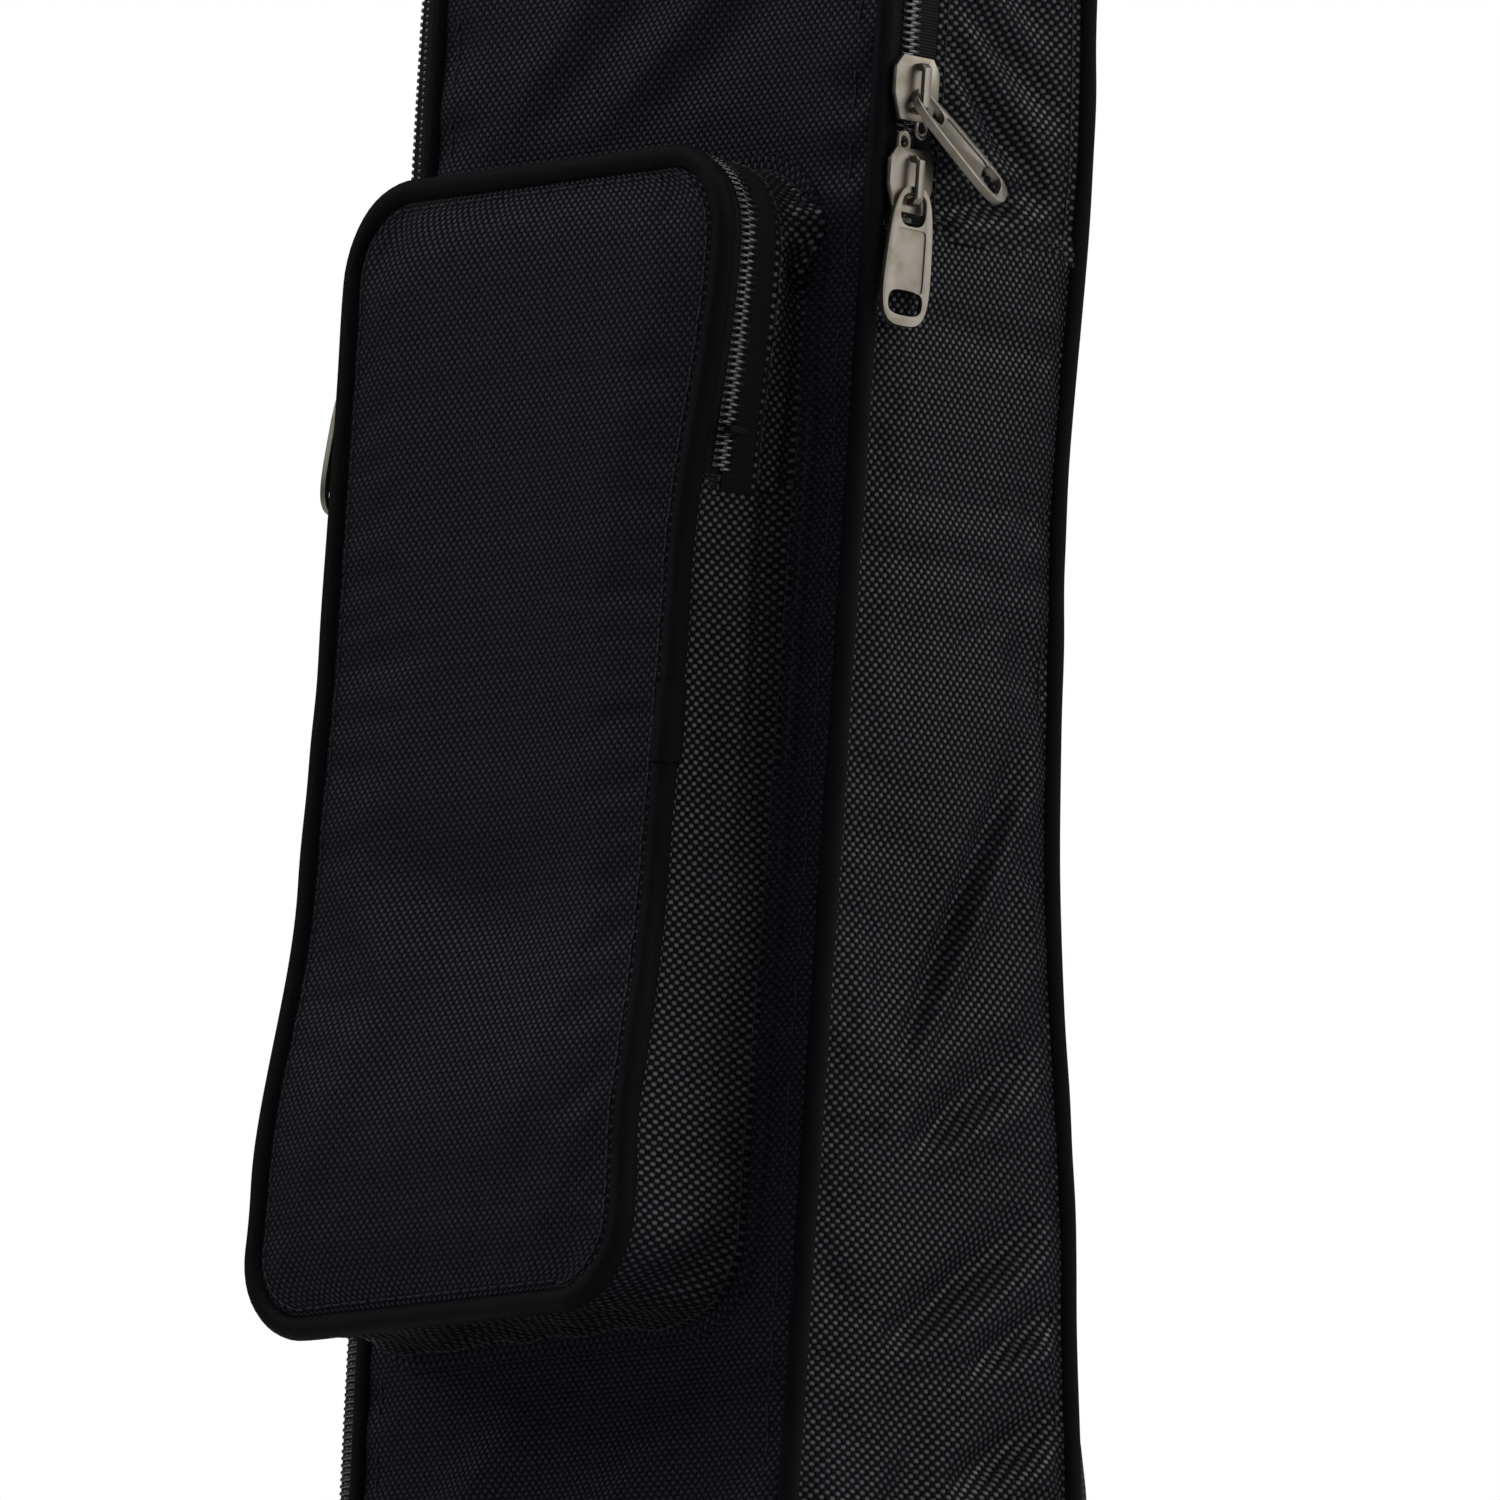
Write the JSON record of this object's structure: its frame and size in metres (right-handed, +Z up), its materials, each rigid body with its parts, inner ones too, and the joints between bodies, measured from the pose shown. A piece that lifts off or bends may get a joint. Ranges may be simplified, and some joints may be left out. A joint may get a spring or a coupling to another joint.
{
  "type": "drum stick bag",
  "caption": "Tapered cloth bag for drum sticks: a piped cover zipped round three sides, a boxed zip pocket on the cover, and a shoulder strap on the back.",
  "frame": {"origin": "underside of the stiffened base, at the middle of its width and depth", "axes": "+Z up along the bag's height; the front with the pocket faces -Y; the cover is hinged along the +X edge"},
  "size_m": [0.1449, 0.1131, 0.46],
  "materials": {
    "oxford_cloth": "plain-weave coated nylon, semi-matt",
    "piping_cloth": "matt twill binding over a cord",
    "zip_tape": "woven tape, matt",
    "zip_coil": "nylon coil, satin",
    "lining_cloth": "thin taffeta, matt",
    "foam": "closed-cell foam sheet",
    "webbing": "ribbed webbing, satin",
    "nickel": "warm satin nickel plate",
    "strap_plastic": "moulded, fine texture"
  },
  "bodies": {
    "case": {"back_panel": "oxford_cloth", "back_foam": "foam", "back_lining": "lining_cloth", "back_piping": "piping_cloth", "gusset_right_lower": "oxford_cloth", "gusset_right_upper": "oxford_cloth", "gusset_top": "oxford_cloth", "gusset_left": "oxford_cloth", "base_panel": "oxford_cloth", "zip_tape_rear": "zip_tape", "zip_coil_rear": "zip_coil", "zip_tape_front_right": "zip_tape", "zip_coil_front_right": "zip_coil", "zip_stop_right": "nickel", "stick_sleeve": "lining_cloth", "strap_tab_lower": "webbing", "strap_ring_lower": "nickel", "strap_webbing": "webbing", "strap_slide": "strap_plastic", "strap_ring_upper": "nickel", "strap_tab_upper": "webbing"},
    "cover": {"cover_panel": "oxford_cloth", "cover_foam": "foam", "cover_lining": "lining_cloth", "cover_piping": "piping_cloth", "zip_tape_front": "zip_tape", "zip_coil_front": "zip_coil", "pocket_gusset_lower": "oxford_cloth", "pocket_gusset_upper": "oxford_cloth", "pocket_base_hem": "oxford_cloth", "pocket_tape_rear": "zip_tape", "pocket_coil_rear": "zip_coil", "pocket_tape_front_right": "zip_tape", "pocket_coil_front_right": "zip_coil", "pocket_zip_stop_right": "zip_tape", "pocket_tape_front_left": "zip_tape", "pocket_coil_front_left": "zip_coil", "pocket_zip_stop_left": "zip_tape", "pocket_front_lower": "oxford_cloth", "pocket_piping_lower": "piping_cloth", "pocket_piping_joint": "piping_cloth"},
    "pocket_flap": {"pocket_front_upper": "oxford_cloth", "pocket_piping_upper": "piping_cloth", "pocket_tape_front": "zip_tape", "pocket_coil_front": "zip_coil"},
    "lower_slider": {"main_slider_lower": "nickel"},
    "lower_puller": {"main_puller_lower": "nickel"},
    "upper_slider": {"main_slider_upper": "nickel"},
    "upper_puller": {"main_puller_upper": "nickel"},
    "pocket_slider": {"pocket_slider": "nickel"},
    "pocket_puller": {"pocket_puller": "nickel"}
  },
  "joints": [
    {"name": "cover_hinge", "type": "hinge", "parent": "case", "child": "cover", "pos_m": [0.0679, -0.038, 0.23], "axis": [0, 0, 1], "range_deg": [0, 150]},
    {"name": "pocket_fold", "type": "hinge", "parent": "cover", "child": "pocket_flap", "pos_m": [0, -0.0651, 0.296], "axis": [1, 0, 0], "range_deg": [0, 110]},
    {"name": "lower_slider_run", "type": "slide", "parent": "case", "child": "lower_slider", "axis": [0, 0, 1], "range_m": [0, 0.045]},
    {"name": "lower_puller_swing", "type": "hinge", "parent": "lower_slider", "child": "lower_puller", "pos_m": [0.07275, -0.0319, 0.3135], "axis": [0, -1, 0], "range_deg": [0, 95]},
    {"name": "upper_slider_run", "type": "slide", "parent": "lower_slider", "child": "upper_slider", "axis": [0, 0, 1], "range_m": [0, 0.045]},
    {"name": "upper_puller_swing", "type": "hinge", "parent": "upper_slider", "child": "upper_puller", "pos_m": [0.07275, -0.03255, 0.33249], "axis": [0, -0.6691, -0.7431], "range_deg": [0, 70]},
    {"name": "pocket_slider_run", "type": "slide", "parent": "cover", "child": "pocket_slider", "axis": [0, 0, -1], "range_m": [0, 0.012]},
    {"name": "pocket_puller_swing", "type": "hinge", "parent": "pocket_slider", "child": "pocket_puller", "pos_m": [-0.06775, -0.0569, 0.283], "axis": [0, 1, 0], "range_deg": [0, 95]}
  ]
}
